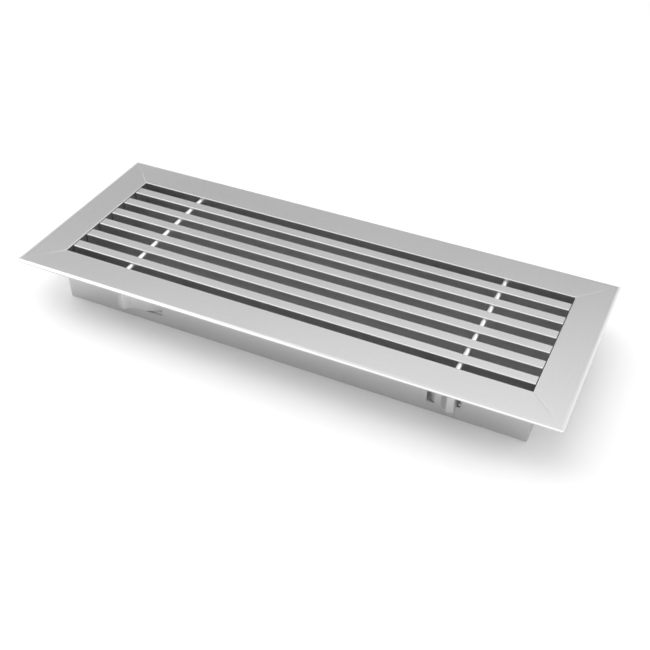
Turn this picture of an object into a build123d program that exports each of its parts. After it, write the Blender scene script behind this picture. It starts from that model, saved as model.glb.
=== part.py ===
from build123d import *

import os

# Linear bar grille, in millimetres. X runs along the bars, Y across them and Z out of the grille's face.
# The origin is the centre of the grille on the plane of the neck's lower edge, on which it stands.

# Bars
BAR_COUNT = 6
BAR_PITCH = 12.7
BAR_WIDTH = 6.35
BAR_DEPTH = 19.0
BAR_DROP = 0.4
BAR_HEAD_DEPTH = 6.6
BAR_SHOULDER_DEPTH = 1.5
BAR_WEB = 4.4
BAR_EDGE_RADIUS = 0.6
BAR_FOOT_RADIUS = 0.8
BAR_END_GAP = 0.4

# Opening in the frame
OPENING_LENGTH = 274.5
EDGE_GAP = 5.7

# Frame extrusion: a face flange with a rounded outer edge, and a neck that stands down from the opening
FRAME_HEIGHT = 33.0
FLANGE_WIDTH = 20.2
FLANGE_THICKNESS = 1.2
EDGE_ROUND_WIDTH = 2.2
EDGE_ROUND_DROP = 0.55
NECK_WALL = 1.5
OPENING_EDGE_RADIUS = 0.5
NECK_FOOT_CHAMFER = 0.3

# The sharp face edges of the mitres are broken, which leaves a shallow groove along each joint
MITRE_BREAK_WIDTH = 0.3
MITRE_BREAK_DEPTH = 0.05

# Cross rods through all the bars and both long neck walls. Each has its own setback from the opening's end.
ROD_DIAMETER = 3.0
ROD_DROP = 2.8
LEFT_ROD_SETBACK = 40.4
RIGHT_ROD_SETBACK = 38.7
ROD_FIT = 0.05
ROD_END_INSET = 0.2
ROD_END_CHAMFER = 0.3

# Corner brackets inside the neck
BRACKET_LEG = 16.0
BRACKET_THICKNESS = 1.2
BRACKET_BEND = 1.0
BRACKET_HEIGHT = 10.0
BRACKET_FOOT = 1.5
BRACKET_CORNER = 1.0

# Spring clips: a strip that comes out of a window in the neck, bows away from it and goes back into a slot.
# Its tail is a plate wider than the window, so that it can't fall out. Setbacks run from the opening's end
# to the leg, rise and lean are the fall of a stretch to its length.
CLIP_THICKNESS = 0.6
CLIP_HEIGHT = 10.4
CLIP_FOOT = 7.1
CLIP_SETBACK = 35.75
CLIP_TRAVEL = 2.7
CLIP_TAIL_HEIGHT = 15.0
CLIP_TAIL_LENGTH = 8.0
CLIP_TAIL_DEPTH = 3.5
CLIP_TAIL_GAP = 0.2
CLIP_ENTRY_RUN = 6.0
CLIP_PLATE_LEAD = 3.0
CLIP_FLAT_LENGTH = 3.5
CLIP_FLAT_RISE = 0.13
CLIP_RAMP_RUN = 3.9
CLIP_CREST_LENGTH = 3.6
CLIP_CREST_HEIGHT = 4.2
CLIP_CREST_FALL = 0.9
CLIP_LEG_LEAN = 0.24
CLIP_BEND = 1.2
CLIP_CREST_BEND = 0.9
CLIP_HOOK_LENGTH = 2.8
CLIP_HOOK_GAP = 0.4
CLIP_HOOK_BEND = 0.6
CLIP_TONGUE_HEIGHT = 5.2
CLIP_TONGUE_SHOULDER = 0.1

# The clips of the left end have a longer flat stretch and entry, and stand a little nearer to the end
LONG_CLIP_SETBACK = 34.55
LONG_CLIP_FLAT_LENGTH = 9.0
LONG_CLIP_ENTRY_RUN = 10.0

# Windows and slots for the clips
WINDOW_LENGTH = 12.4
LONG_WINDOW_LENGTH = 24.1
WINDOW_MARGIN = 0.5
WINDOW_CORNER_RADIUS = 0.5
WINDOW_PAST_CREST = 0.3
SLOT_MARGIN = 1.0
SLOT_SIDE_GAP = 0.35
SLOT_FREE_SIDE = 1.3

# Places that follow from the sizes above
OPENING_WIDTH = (BAR_COUNT - 1) * BAR_PITCH + BAR_WIDTH + 2 * EDGE_GAP
NECK_HALF_WIDTH = OPENING_WIDTH / 2 + NECK_WALL
BAR_TOP = FRAME_HEIGHT - BAR_DROP
BAR_LENGTH = OPENING_LENGTH - 2 * BAR_END_GAP
ROD_HEIGHT = FRAME_HEIGHT - ROD_DROP
ROD_PLACES = (LEFT_ROD_SETBACK - OPENING_LENGTH / 2, OPENING_LENGTH / 2 - RIGHT_ROD_SETBACK)
HOLE_RADIUS = ROD_DIAMETER / 2 + ROD_FIT
CLIP_MIDDLE = CLIP_FOOT + CLIP_HEIGHT / 2
CREST_END_HEIGHT = CLIP_CREST_HEIGHT - CLIP_CREST_FALL


def frame_section():
    """Section of the frame extrusion: x runs out from the opening's edge, y up from the neck's foot."""
    seat = FRAME_HEIGHT - FLANGE_THICKNESS
    flat_end = (FLANGE_WIDTH - EDGE_ROUND_WIDTH, FRAME_HEIGHT)
    round_end = (FLANGE_WIDTH, FRAME_HEIGHT - EDGE_ROUND_DROP)
    rounded_edge = TangentArc(flat_end, round_end, tangent=(1, 0))
    straight = Polyline(
        round_end,
        (FLANGE_WIDTH, seat),
        (NECK_WALL, seat),
        (NECK_WALL, 0),
        (0, 0),
        (0, FRAME_HEIGHT),
        flat_end,
    )
    section = make_face(Curve() + [rounded_edge, straight])
    inner_side = section.vertices().group_by(Axis.X)[0]
    section = fillet(inner_side.sort_by(Axis.Y)[-1], OPENING_EDGE_RADIUS)
    neck_foot = section.vertices().group_by(Axis.Y)[0]
    return chamfer(neck_foot, NECK_FOOT_CHAMFER)


def mitre_block(opening_length, opening_half_width):
    """Block whose two slanted sides run through the opening's corners at 45 degrees."""
    inner = OPENING_WIDTH / 4
    reach = FLANGE_WIDTH * 2
    corners = Polyline(
        (-opening_length / 2 + inner, -opening_half_width + inner),
        (opening_length / 2 - inner, -opening_half_width + inner),
        (opening_length / 2 + reach, -opening_half_width - reach),
        (-opening_length / 2 - reach, -opening_half_width - reach),
        close=True,
    )
    return extrude(make_face(corners), FRAME_HEIGHT)


def mitre_break(opening_length, opening_half_width):
    """Sliver that comes off the face along the right-hand mitre. Its section has y pointing down."""
    corner = (opening_length / 2, -opening_half_width, FRAME_HEIGHT)
    along_joint = Plane(corner, x_dir=(-1, -1, 0), z_dir=(1, -1, 0))
    sliver = Polyline(
        (-MITRE_BREAK_WIDTH, 2 * MITRE_BREAK_DEPTH),
        (2 * MITRE_BREAK_WIDTH, -MITRE_BREAK_DEPTH),
        (-MITRE_BREAK_WIDTH, -MITRE_BREAK_DEPTH),
        close=True,
    )
    return extrude(along_joint * make_face(sliver), 2 * FLANGE_WIDTH)


def frame_member(opening_length, opening_half_width):
    """One side of the frame, lying along X on the side of the opening where Y is negative."""
    outer_half = opening_length / 2 + FLANGE_WIDTH
    end = Plane((outer_half, -opening_half_width, 0), x_dir=(0, -1, 0), z_dir=(-1, 0, 0))
    bar = extrude(end * frame_section(), 2 * outer_half)
    member = bar & mitre_block(opening_length, opening_half_width)
    sliver = mitre_break(opening_length, opening_half_width)
    return member - sliver - mirror(sliver, Plane.YZ)


def leg_place(setback):
    """Distance from the middle of the grille at which a clip's leg goes through the wall."""
    return OPENING_LENGTH / 2 - setback


def crest_places(setback):
    """Distances from the middle of the grille between which a clip stands furthest out."""
    crest_end = leg_place(setback) - CLIP_LEG_LEAN * CREST_END_HEIGHT
    return crest_end - CLIP_CREST_LENGTH, crest_end


def wall_cut(outline, x):
    """Hole through the front neck wall, level with the clips."""
    start = Plane((x, -NECK_HALF_WIDTH - NECK_WALL, CLIP_MIDDLE), x_dir=(1, 0, 0), z_dir=(0, 1, 0))
    return extrude(start * outline, 3 * NECK_WALL)


def clip_cuts(side, setback, window_length):
    """Window and slot for one clip in the front neck wall. Side is 1 for the right end and -1 for the left."""
    window_end = crest_places(setback)[0] + WINDOW_PAST_CREST
    window = RectangleRounded(window_length, CLIP_HEIGHT + 2 * WINDOW_MARGIN, WINDOW_CORNER_RADIUS)
    slot_start = leg_place(setback) - CLIP_THICKNESS / 2 - CLIP_LEG_LEAN * CLIP_TRAVEL - SLOT_SIDE_GAP
    slot_end = leg_place(setback) + CLIP_THICKNESS / 2 + CLIP_LEG_LEAN * NECK_WALL + SLOT_FREE_SIDE
    slot = SlotOverall(CLIP_TONGUE_HEIGHT + 2 * SLOT_MARGIN, slot_end - slot_start, rotation=90)
    return [
        wall_cut(window, side * (window_end - window_length / 2)),
        wall_cut(slot, side * (slot_start + slot_end) / 2),
    ]


def rod_hole(x):
    """Hole for a cross rod through the front neck wall."""
    hole = Rot(90, 0, 0) * Cylinder(HOLE_RADIUS, NECK_WALL)
    return Pos(x, -NECK_HALF_WIDTH + NECK_WALL / 2, ROD_HEIGHT) * hole


def long_member(rod_places):
    """Long side of the frame, with its rod holes and its cuts for two clips."""
    member = frame_member(OPENING_LENGTH, OPENING_WIDTH / 2)
    ends = ((1, CLIP_SETBACK, WINDOW_LENGTH), (-1, LONG_CLIP_SETBACK, LONG_WINDOW_LENGTH))
    for x in rod_places:
        member -= rod_hole(x)
    for side, setback, window_length in ends:
        for cut in clip_cuts(side, setback, window_length):
            member -= cut
    return member


def bar_section():
    """Section of a bar, with its top at height 0: a rectangular head on a thinner web."""
    half = BAR_WIDTH / 2
    web = BAR_WEB / 2
    shoulder = -BAR_HEAD_DEPTH - BAR_SHOULDER_DEPTH
    outline = Polyline(
        (-half, 0),
        (half, 0),
        (half, -BAR_HEAD_DEPTH),
        (web, shoulder),
        (web, -BAR_DEPTH),
        (-web, -BAR_DEPTH),
        (-web, shoulder),
        (-half, -BAR_HEAD_DEPTH),
        close=True,
    )
    section = fillet(make_face(outline).vertices().group_by(Axis.Y)[-1], BAR_EDGE_RADIUS)
    return fillet(section.vertices().group_by(Axis.Y)[0], BAR_FOOT_RADIUS)


def bar(y):
    """One bar, with the holes for both rods."""
    start = Plane((-BAR_LENGTH / 2, y, BAR_TOP), x_dir=(0, 1, 0), z_dir=(1, 0, 0))
    body = extrude(start * bar_section(), BAR_LENGTH)
    for x in ROD_PLACES:
        hole = Rot(90, 0, 0) * Cylinder(HOLE_RADIUS, 2 * BAR_WIDTH)
        body -= Pos(x, y, ROD_HEIGHT) * hole
    return body


def cross_rod(x):
    """Rod that carries the bars and ends inside both long neck walls."""
    length = 2 * (NECK_HALF_WIDTH - ROD_END_INSET)
    rod = Cylinder(ROD_DIAMETER / 2, length)
    rod = chamfer(rod.edges().filter_by(GeomType.CIRCLE), ROD_END_CHAMFER)
    return Pos(x, 0, ROD_HEIGHT) * Rot(90, 0, 0) * rod


def corner_bracket(side_x, side_y):
    """Bent angle against both neck walls in one corner."""
    corner_x = OPENING_LENGTH / 2 - BRACKET_THICKNESS / 2
    corner_y = OPENING_WIDTH / 2 - BRACKET_THICKNESS / 2
    middle = FilletPolyline(
        (corner_x - BRACKET_LEG, corner_y),
        (corner_x, corner_y),
        (corner_x, corner_y - BRACKET_LEG),
        radius=BRACKET_BEND + BRACKET_THICKNESS / 2,
    )
    angle = Pos(0, 0, BRACKET_FOOT) * extrude(trace(middle, BRACKET_THICKNESS), BRACKET_HEIGHT)
    ends = angle.edges().filter_by(Axis.Y).group_by(Axis.X)[0]
    ends += angle.edges().filter_by(Axis.X).group_by(Axis.Y)[0]
    angle = fillet(ends, BRACKET_CORNER)
    if side_x < 0:
        angle = mirror(angle, Plane.YZ)
    if side_y < 0:
        angle = mirror(angle, Plane.XZ)
    return angle


def trimmed(strip, height, low, high):
    """Takes a clip's strip down to a height about its middle, between two corners in X and Y."""
    spare = (CLIP_TAIL_HEIGHT - height) / 2
    waste = Box(high[0] - low[0], high[1] - low[1], spare)
    for side in (-1, 1):
        level = CLIP_MIDDLE + side * (height + spare) / 2
        strip -= Pos((low[0] + high[0]) / 2, (low[1] + high[1]) / 2, level) * waste
    return strip


def spring_clip(setback, flat_length, entry_run, plate_lead):
    """Clip of the front neck wall's right end: tail plate, entry, flat stretch, ramp, crest, leg and hook."""
    wall = -NECK_HALF_WIDTH
    leg_x = leg_place(setback)
    crest_x, crest_end = crest_places(setback)
    ramp_foot = crest_x - CLIP_RAMP_RUN
    flat_start = ramp_foot - flat_length
    tail_end = flat_start - entry_run
    hook_depth = NECK_WALL + CLIP_HOOK_GAP + CLIP_THICKNESS / 2
    hook_x = leg_x + CLIP_LEG_LEAN * hook_depth
    middle = FilletPolyline(
        (tail_end - CLIP_TAIL_LENGTH, wall + CLIP_TAIL_DEPTH),
        (tail_end, wall + CLIP_TAIL_DEPTH),
        (flat_start, wall),
        (ramp_foot, wall - CLIP_FLAT_RISE * flat_length),
        (crest_x, wall - CLIP_CREST_HEIGHT),
        (crest_end, wall - CREST_END_HEIGHT),
        (hook_x, wall + hook_depth),
        (hook_x + CLIP_HOOK_LENGTH, wall + hook_depth),
        radius=[CLIP_BEND, CLIP_BEND, CLIP_BEND, CLIP_CREST_BEND, CLIP_CREST_BEND, CLIP_HOOK_BEND],
    )
    bottom = CLIP_MIDDLE - CLIP_TAIL_HEIGHT / 2
    strip = Pos(0, 0, bottom) * extrude(trace(middle, CLIP_THICKNESS), CLIP_TAIL_HEIGHT)
    reach = CLIP_TAIL_LENGTH + entry_run + flat_length
    behind_wall = wall + NECK_WALL + CLIP_TAIL_GAP
    in_front = wall - 2 * CLIP_CREST_HEIGHT
    strip = trimmed(strip, CLIP_HEIGHT, (tail_end - reach, in_front), (leg_x + reach, behind_wall))
    plate_end = (tail_end + plate_lead, in_front)
    strip = trimmed(strip, CLIP_HEIGHT, plate_end, (leg_x + reach, wall + reach))
    shoulder = wall - CLIP_TRAVEL - CLIP_TONGUE_SHOULDER
    tongue_start = (crest_end - CLIP_CREST_BEND, shoulder)
    return trimmed(strip, CLIP_TONGUE_HEIGHT, tongue_start, (leg_x + reach, wall + reach))


def build():
    """All the pieces, by name."""
    short_side = frame_member(OPENING_WIDTH, OPENING_LENGTH / 2)
    clip = spring_clip(CLIP_SETBACK, CLIP_FLAT_LENGTH, CLIP_ENTRY_RUN, CLIP_PLATE_LEAD)
    long_clip = spring_clip(LONG_CLIP_SETBACK, LONG_CLIP_FLAT_LENGTH, LONG_CLIP_ENTRY_RUN, 0)
    long_clip = mirror(long_clip, Plane.YZ)
    pieces = {
        "frame_front": long_member(ROD_PLACES),
        "frame_back": Rot(0, 0, 180) * long_member([-x for x in ROD_PLACES]),
        "frame_right": Rot(0, 0, 90) * short_side,
        "frame_left": Rot(0, 0, -90) * short_side,
        "cross_rod_left": cross_rod(ROD_PLACES[0]),
        "cross_rod_right": cross_rod(ROD_PLACES[1]),
        "clip_front_right": clip,
        "clip_front_left": long_clip,
        "clip_back_left": Rot(0, 0, 180) * clip,
        "clip_back_right": Rot(0, 0, 180) * long_clip,
    }
    for number in range(BAR_COUNT):
        pieces[f"bar_{number + 1}"] = bar((number - (BAR_COUNT - 1) / 2) * BAR_PITCH)
    for side_y, row in ((-1, "front"), (1, "back")):
        for side_x, column in ((-1, "left"), (1, "right")):
            pieces[f"bracket_{row}_{column}"] = corner_bracket(side_x, side_y)
    return pieces


os.makedirs("parts", exist_ok=True)
for name, piece in build().items():
    export_step(piece, f"parts/{name}.step")
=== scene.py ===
# %% [markdown]
# A linear bar grille, dressed for a studio picture.
# The grille comes ready made from the CAD pack: a mitred aluminium frame, six bars on two cross rods,
# four corner brackets and four spring clips. This lesson gives each piece its real finish and lights it.
# The first cell loads the pack.

# %% Load the imported grille
import math
import bpy
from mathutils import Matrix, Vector

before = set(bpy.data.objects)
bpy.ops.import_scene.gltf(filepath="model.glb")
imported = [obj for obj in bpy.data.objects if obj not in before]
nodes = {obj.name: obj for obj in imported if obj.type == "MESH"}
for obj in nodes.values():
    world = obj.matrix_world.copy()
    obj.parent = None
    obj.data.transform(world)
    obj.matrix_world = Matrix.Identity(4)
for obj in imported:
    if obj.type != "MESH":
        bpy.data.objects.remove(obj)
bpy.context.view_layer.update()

# %% [markdown]
# A few small helpers serve every cell after this one.
# Sizes are thought of in millimetres and Blender works in metres, so one constant joins the two.
# Colours are written as the hex value that the eye would read off a screen, and shaders want linear light,
# so one function turns the first into the second. The next adds one node with its settings and links.
# Places in the studio are given as an azimuth and an elevation, as a photographer would walk round the table,
# and the last function turns such a pair into a direction.

# %% Helpers
MM = 0.001


def linear(hex_colour):
    """Turns an sRGB hex colour into the linear colour that shaders use."""
    channels = [int(hex_colour[place:place + 2], 16) / 255 for place in (1, 3, 5)]
    return [c / 12.92 if c <= 0.04045 else ((c + 0.055) / 1.055) ** 2.4 for c in channels] + [1.0]


def add_node(tree, kind, settings=None, links=None, **values):
    """Adds a node: settings are its properties, links go into its inputs, and values set the other inputs."""
    node = tree.nodes.new(kind)
    for name, value in (settings or {}).items():
        setattr(node, name, value)
    for name, value in values.items():
        node.inputs[name.replace("_", " ")].default_value = value
    for name, socket in (links or {}).items():
        tree.links.new(socket, node.inputs[name])
    return node


def direction_of(azimuth, elevation):
    """The direction from the grille to a place: azimuth 0 is in front, 90 on the right, 270 on the left."""
    turn, rise = math.radians(azimuth), math.radians(elevation)
    return Vector((math.sin(turn) * math.cos(rise), -math.cos(turn) * math.cos(rise), math.sin(rise)))


print("middle grey in linear light:", [round(channel, 3) for channel in linear("#808080")])

# %% [markdown]
# The camera looks down on the grille from its front right, like someone at a workbench.
# It could be placed by eye, but a camera fitted to the straight edges of the picture puts every edge in its
# place, so its aim, distance and two angles are given here as numbers, for a lens on a 36 mm sensor.

# %% Camera
CAMERA_AIM = Vector((25.62, -38.38, 33.0)) * MM
CAMERA_DISTANCE = 502.5 * MM
CAMERA_AZIMUTH = 25.44
CAMERA_ELEVATION = 39.52
CAMERA_LENS = 53.62
SENSOR_WIDTH = 36
NEAREST_SEEN = 10 * MM

away = direction_of(CAMERA_AZIMUTH, CAMERA_ELEVATION)
camera_data = bpy.data.cameras.new("camera")
camera_data.lens = CAMERA_LENS
camera_data.sensor_width = SENSOR_WIDTH
camera_data.clip_start = NEAREST_SEEN
camera = bpy.data.objects.new("camera", camera_data)
camera.location = CAMERA_AIM + away * CAMERA_DISTANCE
camera.rotation_euler = away.to_track_quat("Z", "Y").to_euler()
bpy.context.scene.collection.objects.link(camera)
bpy.context.scene.camera = camera
print("camera at", [round(x, 3) for x in camera.location])

# %% [markdown]
# The table is a sheet of white paper, so wide that it fills the picture.
# It could be a curved backdrop, but a flat sheet has no bend to show in the other views.

# %% Floor sheet
FLOOR_SIZE = 40.0

half = FLOOR_SIZE / 2
floor_corners = [(-half, -half, 0), (half, -half, 0), (half, half, 0), (-half, half, 0)]
floor_mesh = bpy.data.meshes.new("floor")
floor_mesh.from_pydata(floor_corners, [], [(0, 1, 2, 3)])
floor = bpy.data.objects.new("floor", floor_mesh)
bpy.context.scene.collection.objects.link(floor)
print("floor", FLOOR_SIZE, "m wide")

# %% [markdown]
# The paper is matt and white, and its diffuse colour takes the soft shadow of the grille.
# Away from the grille it would fall off in brightness, so it turns into plain white there, by the distance
# from the middle of the sheet. Close to the grille a very faint glow helps it towards white. Only the camera
# and mirroring surfaces see that glow, so it lights nothing.

# %% White paper
PAPER_WHITE = "#F7F7F7"
PLAIN_WHITE = "#FFFFFF"
PAPER_GLOW = 0.03
NEAR_PAPER = 220 * MM
FAR_PAPER = 600 * MM

paper = bpy.data.materials.new("white_paper")
paper.use_nodes = True
tree = paper.node_tree
tree.nodes.clear()
place = add_node(tree, "ShaderNodeTexCoord").outputs["Object"]
distance = add_node(tree, "ShaderNodeVectorMath", {"operation": "LENGTH"}, {"Vector": place}).outputs["Value"]
far = add_node(tree, "ShaderNodeMapRange", {"interpolation_type": "SMOOTHSTEP"}, {"Value": distance},
               From_Min=NEAR_PAPER, From_Max=FAR_PAPER)
matt = add_node(tree, "ShaderNodeBsdfDiffuse", Color=linear(PAPER_WHITE))
ray = add_node(tree, "ShaderNodeLightPath")
seen = ray.outputs["Is Camera Ray"]
for kind in ("Is Glossy Ray", "Is Transmission Ray"):
    either = add_node(tree, "ShaderNodeMath", {"operation": "ADD"}, {0: seen, 1: ray.outputs[kind]})
    seen = either.outputs["Value"]
glow = add_node(tree, "ShaderNodeMath", {"operation": "MULTIPLY"}, {0: seen})
glow.inputs[1].default_value = PAPER_GLOW
glow = glow.outputs["Value"]
lit = add_node(tree, "ShaderNodeEmission", None, {"Strength": glow}, Color=linear(PLAIN_WHITE))
sheet = add_node(tree, "ShaderNodeAddShader", None, {0: matt.outputs["BSDF"], 1: lit.outputs["Emission"]})
plain = add_node(tree, "ShaderNodeEmission", Color=linear(PLAIN_WHITE), Strength=1.0)
mixed = add_node(tree, "ShaderNodeMixShader", None,
                 {0: far.outputs["Result"], 1: sheet.outputs["Shader"], 2: plain.outputs["Emission"]})
add_node(tree, "ShaderNodeOutputMaterial", None, {"Surface": mixed.outputs["Shader"]})
floor_mesh.materials.append(paper)
print("paper", PAPER_WHITE, "turns plain white between", NEAR_PAPER, "and", FAR_PAPER, "m")

# %% [markdown]
# The studio is a dome of soft light, white along the horizon.
# Metal shows what it faces. Seen from this camera the flat frame mirrors the dome behind the grille, some 30
# to 45 degrees above the table, and a satin surface blurs it. A dark curtain hangs low there and turns bright
# higher up, which makes the frame a calm grey that grows lighter towards the camera. A pale wall stands on
# its right. Two white cards stand low on either side of the curtain. The left one makes the rounded left
# edge melt into the white, as in life, and the right one draws a light line along the rounded right edge.
# A lamp could stand for each of these, but bands of brightness that blend into each other leave no hard
# outline in the metal. Each part lists how bright it is at a few elevations, in degrees.

# %% Parts of the dome
DOME_LIGHT = ((8, 1.00), (16, 0.95), (26, 0.35), (36, 0.75), (46, 0.80), (60, 1.08), (90, 1.25))
PALE_WALL_LIGHT = ((8, 1.00), (16, 0.50), (26, 0.60), (36, 1.50), (46, 1.50), (60, 0.90), (90, 1.25))
CURTAIN_LIGHT = ((8, 1.00), (16, 0.85), (26, 0.50), (36, 0.10), (46, 2.15), (60, 0.88), (90, 1.25))
LEFT_CARD_LIGHT = ((17, 1.65), (23, 0.50), (36, 0.10), (46, 2.15), (60, 0.88), (90, 1.25))
RIGHT_CARD_LIGHT = ((26, 1.60), (36, 1.50), (46, 1.50), (60, 0.90), (90, 1.25))

# Each part: the azimuth of its middle, and how far from there it is full and gone, in degrees.
DOME_PARTS = (
    (112.5, 22.5, 67.5, PALE_WALL_LIGHT),
    (202.5, 22.5, 67.5, CURTAIN_LIGHT),
    (232.0, 10.0, 25.0, LEFT_CARD_LIGHT),
    (150.0, 10.0, 25.0, RIGHT_CARD_LIGHT),
)

every_light = [DOME_LIGHT] + [part[-1] for part in DOME_PARTS]
brightest = max(light for lights in every_light for elevation, light in lights)
print("brightest part of the dome:", brightest)

# %% [markdown]
# A direction's height is the sine of its elevation, so a colour ramp over the height holds one part's bands.
# A ramp's colours end at 1, so they are shares of the brightest band, and the background's strength brings
# that back. The angle between a direction's heading and the middle of a part mixes the part in.

# %% Studio dome
def light_by_height(tree, height, lights):
    """A colour ramp from pairs of elevation in degrees and brightness."""
    ramp = add_node(tree, "ShaderNodeValToRGB", None, {"Fac": height})
    steps = ramp.color_ramp.elements
    while len(steps) < len(lights):
        steps.new(1.0)
    for step, (elevation, light) in zip(steps, lights):
        step.position = math.sin(math.radians(elevation))
        step.color = [light / brightest] * 3 + [1.0]
    return ramp.outputs["Color"]


world = bpy.data.worlds.new("studio_dome")
bpy.context.scene.world = world
world.use_nodes = True
tree = world.node_tree
tree.nodes.clear()
direction = add_node(tree, "ShaderNodeTexCoord").outputs["Generated"]
height = add_node(tree, "ShaderNodeSeparateXYZ", None, {"Vector": direction}).outputs["Z"]
level = add_node(tree, "ShaderNodeVectorMath", {"operation": "MULTIPLY"}, {0: direction})
level.inputs[1].default_value = (1, 1, 0)
level = level.outputs["Vector"]
heading = add_node(tree, "ShaderNodeVectorMath", {"operation": "NORMALIZE"}, {0: level}).outputs["Vector"]

sky = light_by_height(tree, height, DOME_LIGHT)
for azimuth, inside, outside, lights in DOME_PARTS:
    along = add_node(tree, "ShaderNodeVectorMath", {"operation": "DOT_PRODUCT"}, {0: heading})
    along.inputs[1].default_value = direction_of(azimuth, 0)
    angle = add_node(tree, "ShaderNodeMath", {"operation": "ARCCOSINE"}, {0: along.outputs["Value"]})
    share = add_node(tree, "ShaderNodeMapRange", None, {"Value": angle.outputs["Value"]},
                     From_Min=math.radians(inside), From_Max=math.radians(outside), To_Min=1.0, To_Max=0.0)
    part = light_by_height(tree, height, lights)
    sky = add_node(tree, "ShaderNodeMix", {"data_type": "RGBA"},
                   {0: share.outputs["Result"], 6: sky, 7: part}).outputs[2]
dome = add_node(tree, "ShaderNodeBackground", None, {"Color": sky}, Strength=brightest)
add_node(tree, "ShaderNodeOutputWorld", None, {"Surface": dome.outputs["Background"]})
print("dome with", len(DOME_PARTS), "parts")

# %% [markdown]
# Soft boxes give the light a direction, so the shadow falls to one side and the edges get their bright lines.
# The two on the left throw the shadow to the right, the one overhead reaches into the slots, and a weak one
# at the front left softens the shadow under the flange. To look as bright, a larger lamp needs more watts,
# so each box is given by how bright it looks, on the same scale as the dome, and the loop finds the watts.

# %% Soft boxes
SOFT_BOX_SIZE = 0.8
SOFT_BOX_DISTANCE = 1.4

# Each box: its azimuth and elevation in degrees, and how bright it looks.
SOFT_BOXES = {
    "left_soft_box": (270, 33, 1.15),
    "high_left_soft_box": (270, 55, 1.20),
    "top_soft_box": (0, 76, 1.20),
    "front_left_soft_box": (315, 55, 0.25),
}

for name, (azimuth, elevation, brightness) in SOFT_BOXES.items():
    towards = direction_of(azimuth, elevation)
    light = bpy.data.lights.new(name, "AREA")
    light.shape = "SQUARE"
    light.size = SOFT_BOX_SIZE
    light.energy = brightness * math.pi * SOFT_BOX_SIZE ** 2
    box = bpy.data.objects.new(name, light)
    box.location = towards * SOFT_BOX_DISTANCE
    box.rotation_euler = towards.to_track_quat("Z", "Y").to_euler()
    bpy.context.scene.collection.objects.link(box)
    print(name, "at", [round(x, 2) for x in box.location], round(light.energy, 1), "W")

# %% [markdown]
# All the metal of the grille is shaped by something that runs along the piece: a die for the extrusions,
# a drawing ring for the rods, rolls for the clips' strip. Each leaves faint lines in its own direction.
# Three noise patterns stand for such a surface. One is stretched along the run for the lines, a second one is
# left fine and even for the grain, and a third, very broad one makes the tone drift a little, as it does
# over any real batch of metal. A photographed texture could be used, but noise has no seam at any length.

# %% Patterns of worked metal
# How far apart the broad changes of tone lie, in millimetres.
DRIFT_SIZE = 45


def metal_patterns(tree, run, line_length, line_width, grain_size):
    """Noise patterns with their sizes in mm: lines along one axis, an even grain, and a broad drift."""
    place = add_node(tree, "ShaderNodeTexCoord").outputs["Object"]
    stretched = add_node(tree, "ShaderNodeVectorMath", {"operation": "MULTIPLY"}, {0: place})
    sizes = [line_length if axis == run else line_width for axis in "XYZ"]
    stretched.inputs[1].default_value = [1 / (MM * size) for size in sizes]
    lines = add_node(tree, "ShaderNodeTexNoise", None, {"Vector": stretched.outputs["Vector"]},
                     Scale=1.0, Detail=3.0, Roughness=0.6)
    grains = add_node(tree, "ShaderNodeTexNoise", None, {"Vector": place},
                      Scale=1 / (MM * grain_size), Detail=2.0)
    drift = add_node(tree, "ShaderNodeTexNoise", None, {"Vector": place},
                     Scale=1 / (MM * DRIFT_SIZE), Detail=1.0)
    return [pattern.outputs["Fac"] for pattern in (lines, grains, drift)]


print("the tone of every metal drifts over about", DRIFT_SIZE, "mm")

# %% [markdown]
# One recipe makes every metal of the grille from those patterns.
# The lines and the drift move the colour between two near tones, and the grain moves the roughness. The lines
# and the grain also stand up as a bump, a few thousandths of a millimetre high at most. One flat colour would
# be simpler, but metal that is the same everywhere looks like plastic. A real etched grain is some 0.03 mm
# wide, too fine for a picture of the whole grille, so it is drawn wider.

# %% Recipe for worked metal
# Noise gathers around its middle, so only the part of its range that it really fills is used.
NOISE_SPAN = (0.3, 0.7)
TWO_NOISES_SPAN = (0.75, 1.25)


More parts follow.
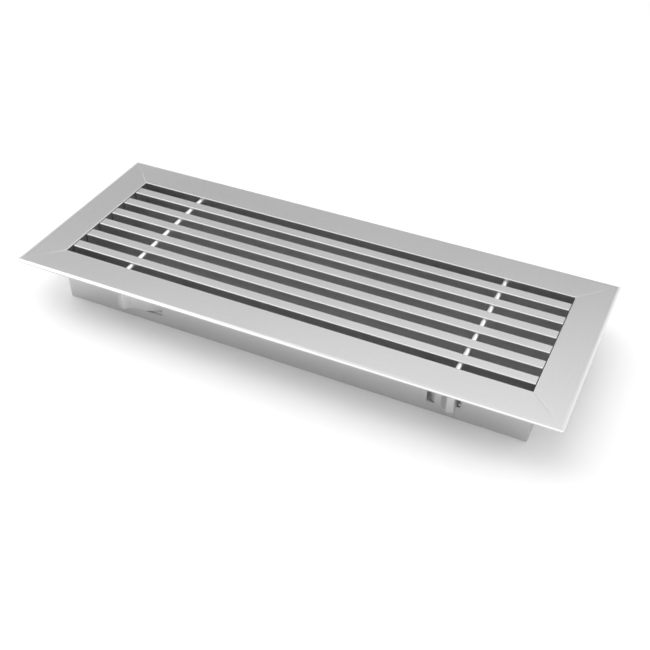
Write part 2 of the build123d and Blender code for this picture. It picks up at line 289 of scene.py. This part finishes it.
def worked_metal(name, colour, run, line, grain, roughness, spread, tone, haze=0.0):
    """Metal with lines along one axis: a line's length, width and depth in mm, and a grain's size and depth.

    Spread is how far the roughness strays, tone the share by which the colour does, and haze the share of
    the surface that scatters light instead of mirroring it.
    """
    material = bpy.data.materials.new(name)
    material.use_nodes = True
    tree = material.node_tree
    surface = tree.nodes["Principled BSDF"]
    line_length, line_width, line_depth = line
    grain_size, grain_depth = grain
    lines, grains, drift = metal_patterns(tree, run, line_length, line_width, grain_size)

    both = add_node(tree, "ShaderNodeMath", {"operation": "ADD"}, {0: lines, 1: drift}).outputs["Value"]
    shade = add_node(tree, "ShaderNodeMapRange", None, {"Value": both},
                     From_Min=TWO_NOISES_SPAN[0], From_Max=TWO_NOISES_SPAN[1])
    tones = add_node(tree, "ShaderNodeMix", {"data_type": "RGBA"}, {0: shade.outputs["Result"]})
    middle = linear(colour)[:3]
    tones.inputs[6].default_value = [channel * (1 - tone) for channel in middle] + [1.0]
    tones.inputs[7].default_value = [min(1.0, channel * (1 + tone)) for channel in middle] + [1.0]
    tree.links.new(tones.outputs[2], surface.inputs["Base Color"])

    rough = add_node(tree, "ShaderNodeMapRange", None, {"Value": grains},
                     From_Min=NOISE_SPAN[0], From_Max=NOISE_SPAN[1],
                     To_Min=roughness - spread, To_Max=roughness + spread)
    tree.links.new(rough.outputs["Result"], surface.inputs["Roughness"])

    ridges = add_node(tree, "ShaderNodeBump", None, {"Height": lines}, Distance=line_depth * MM)
    relief = add_node(tree, "ShaderNodeBump", None, {"Height": grains}, Distance=grain_depth * MM)
    tree.links.new(ridges.outputs["Normal"], relief.inputs["Normal"])
    tree.links.new(relief.outputs["Normal"], surface.inputs["Normal"])
    surface.inputs["Metallic"].default_value = 1.0 - haze
    print(name, colour, "lines along", run)
    return material


print("part of the noise's range that is used:", NOISE_SPAN)

# %% [markdown]
# The frame and the bars are extruded aluminium, etched to a satin grey and clear anodised.
# The eye reads it as one calm light grey. The bars look a touch lighter, as they come from another section.
# The clear anodic layer scatters a little light before it reaches the metal: that is the small haze.
# The die lines run along each member, so the long and the short sides of the frame need a material each,
# and the change of direction is what shows the mitre in raking light. Real die lines are hair fine, about
# 0.1 mm. They are drawn some 0.8 mm wide, as fine as the picture can carry without turning into noise.

# %% Satin anodised aluminium
FRAME_GREY = "#CACACA"
BAR_GREY = "#CCCCCC"
ANODIC_HAZE = 0.06
FRAME_LINE = (120, 0.8, 0.002)
BAR_LINE = (100, 0.7, 0.002)
ETCHED_GRAIN = (0.3, 0.001)

frame_along_x, frame_along_y = [
    worked_metal("anodised_frame_along_" + run.lower(), FRAME_GREY, run, FRAME_LINE, ETCHED_GRAIN,
                 roughness=0.32, spread=0.06, tone=0.015, haze=ANODIC_HAZE)
    for run in "XY"
]
bar_metal = worked_metal("anodised_bars", BAR_GREY, "X", BAR_LINE, ETCHED_GRAIN,
                         roughness=0.33, spread=0.06, tone=0.035, haze=ANODIC_HAZE)

# %% [markdown]
# The cross rods are drawn through a polished ring, so they are the brightest metal of the grille.
# In the picture they are short white dashes between the bars. The brackets are cut from plain mill finish
# angle, which is duller and a little darker, with its lines up and down. The clips are cold rolled spring
# steel, which gives the eye a tighter shine than the satin frame, and close lines along the strip.

# %% Rods, brackets and clips
ROD_WHITE = "#F6F6F6"
MILL_GREY = "#C3C4C5"
STEEL_GREY = "#D1D1D1"

rod_metal = worked_metal("drawn_aluminium_rod", ROD_WHITE, "Y", (60, 0.25, 0.001), (0.2, 0.0005),
                         roughness=0.38, spread=0.04, tone=0.02)
bracket_metal = worked_metal("mill_finish_aluminium", MILL_GREY, "Z", (40, 0.6, 0.003), (0.4, 0.002),
                             roughness=0.48, spread=0.05, tone=0.06)
clip_metal = worked_metal("spring_steel_strip", STEEL_GREY, "X", (30, 0.3, 0.001), (0.25, 0.0005),
                          roughness=0.30, spread=0.04, tone=0.05)

# %% [markdown]
# Every node of the pack already has a material slot, so a finish is put on by filling that slot.
# The first word of a node's name says what it is, and only the frame's four members need their full name.

# %% Put the finishes on
FINISHES = {
    "frame_front": frame_along_x,
    "frame_back": frame_along_x,
    "frame_left": frame_along_y,
    "frame_right": frame_along_y,
    "bar": bar_metal,
    "cross": rod_metal,
    "bracket": bracket_metal,
    "clip": clip_metal,
}

for name, node in nodes.items():
    finish = FINISHES.get(name) or FINISHES[name.split("_")[0]]
    for slot in node.material_slots:
        slot.material = finish
print("finished pieces:", len(nodes))

# %% [markdown]
# No real edge is perfectly sharp: the tumbled or filed edge of a bar is broken by about a tenth of
# a millimetre, and that thin slope is what catches the light along it. The CAD mesh has a separate rim of
# vertices on each face, so the stack first welds them, then dissolves the flat triangles and only then bevels
# the sharp edges. They could be rounded in the CAD, but slopes this small would only make the solids heavier.
# Weighted normals keep the flat faces flat beside the new slopes. The bevel cuts inwards, so no piece grows.

# %% Edges
WELD_REACH = 0.002 * MM
FLAT_ANGLE = math.radians(0.5)
SHARP_ANGLE = math.radians(38)
BEVEL_STEPS = 2

# Width of the broken edge in millimetres, by the first word of a node's name.
EDGE_BREAKS = {"bar": 0.1, "frame": 0.05, "cross": 0.05, "bracket": 0.1, "clip": 0.05}

for name, node in nodes.items():
    weld = node.modifiers.new("weld", "WELD")
    weld.merge_threshold = WELD_REACH
    flat = node.modifiers.new("flat_faces", "DECIMATE")
    flat.decimate_type = "DISSOLVE"
    flat.angle_limit = FLAT_ANGLE
    bevel = node.modifiers.new("edge_break", "BEVEL")
    bevel.width = EDGE_BREAKS[name.split("_")[0]] * MM
    bevel.segments = BEVEL_STEPS
    bevel.limit_method = "ANGLE"
    bevel.angle_limit = SHARP_ANGLE
    bevel.use_clamp_overlap = False
    even = node.modifiers.new("even_shading", "WEIGHTED_NORMAL")
    even.keep_sharp = False
print("edges broken on", len(nodes), "pieces")

# %% [markdown]
# The standard view shows each colour as it is written above.

# %% Finish
bpy.context.scene.view_settings.view_transform = "Standard"
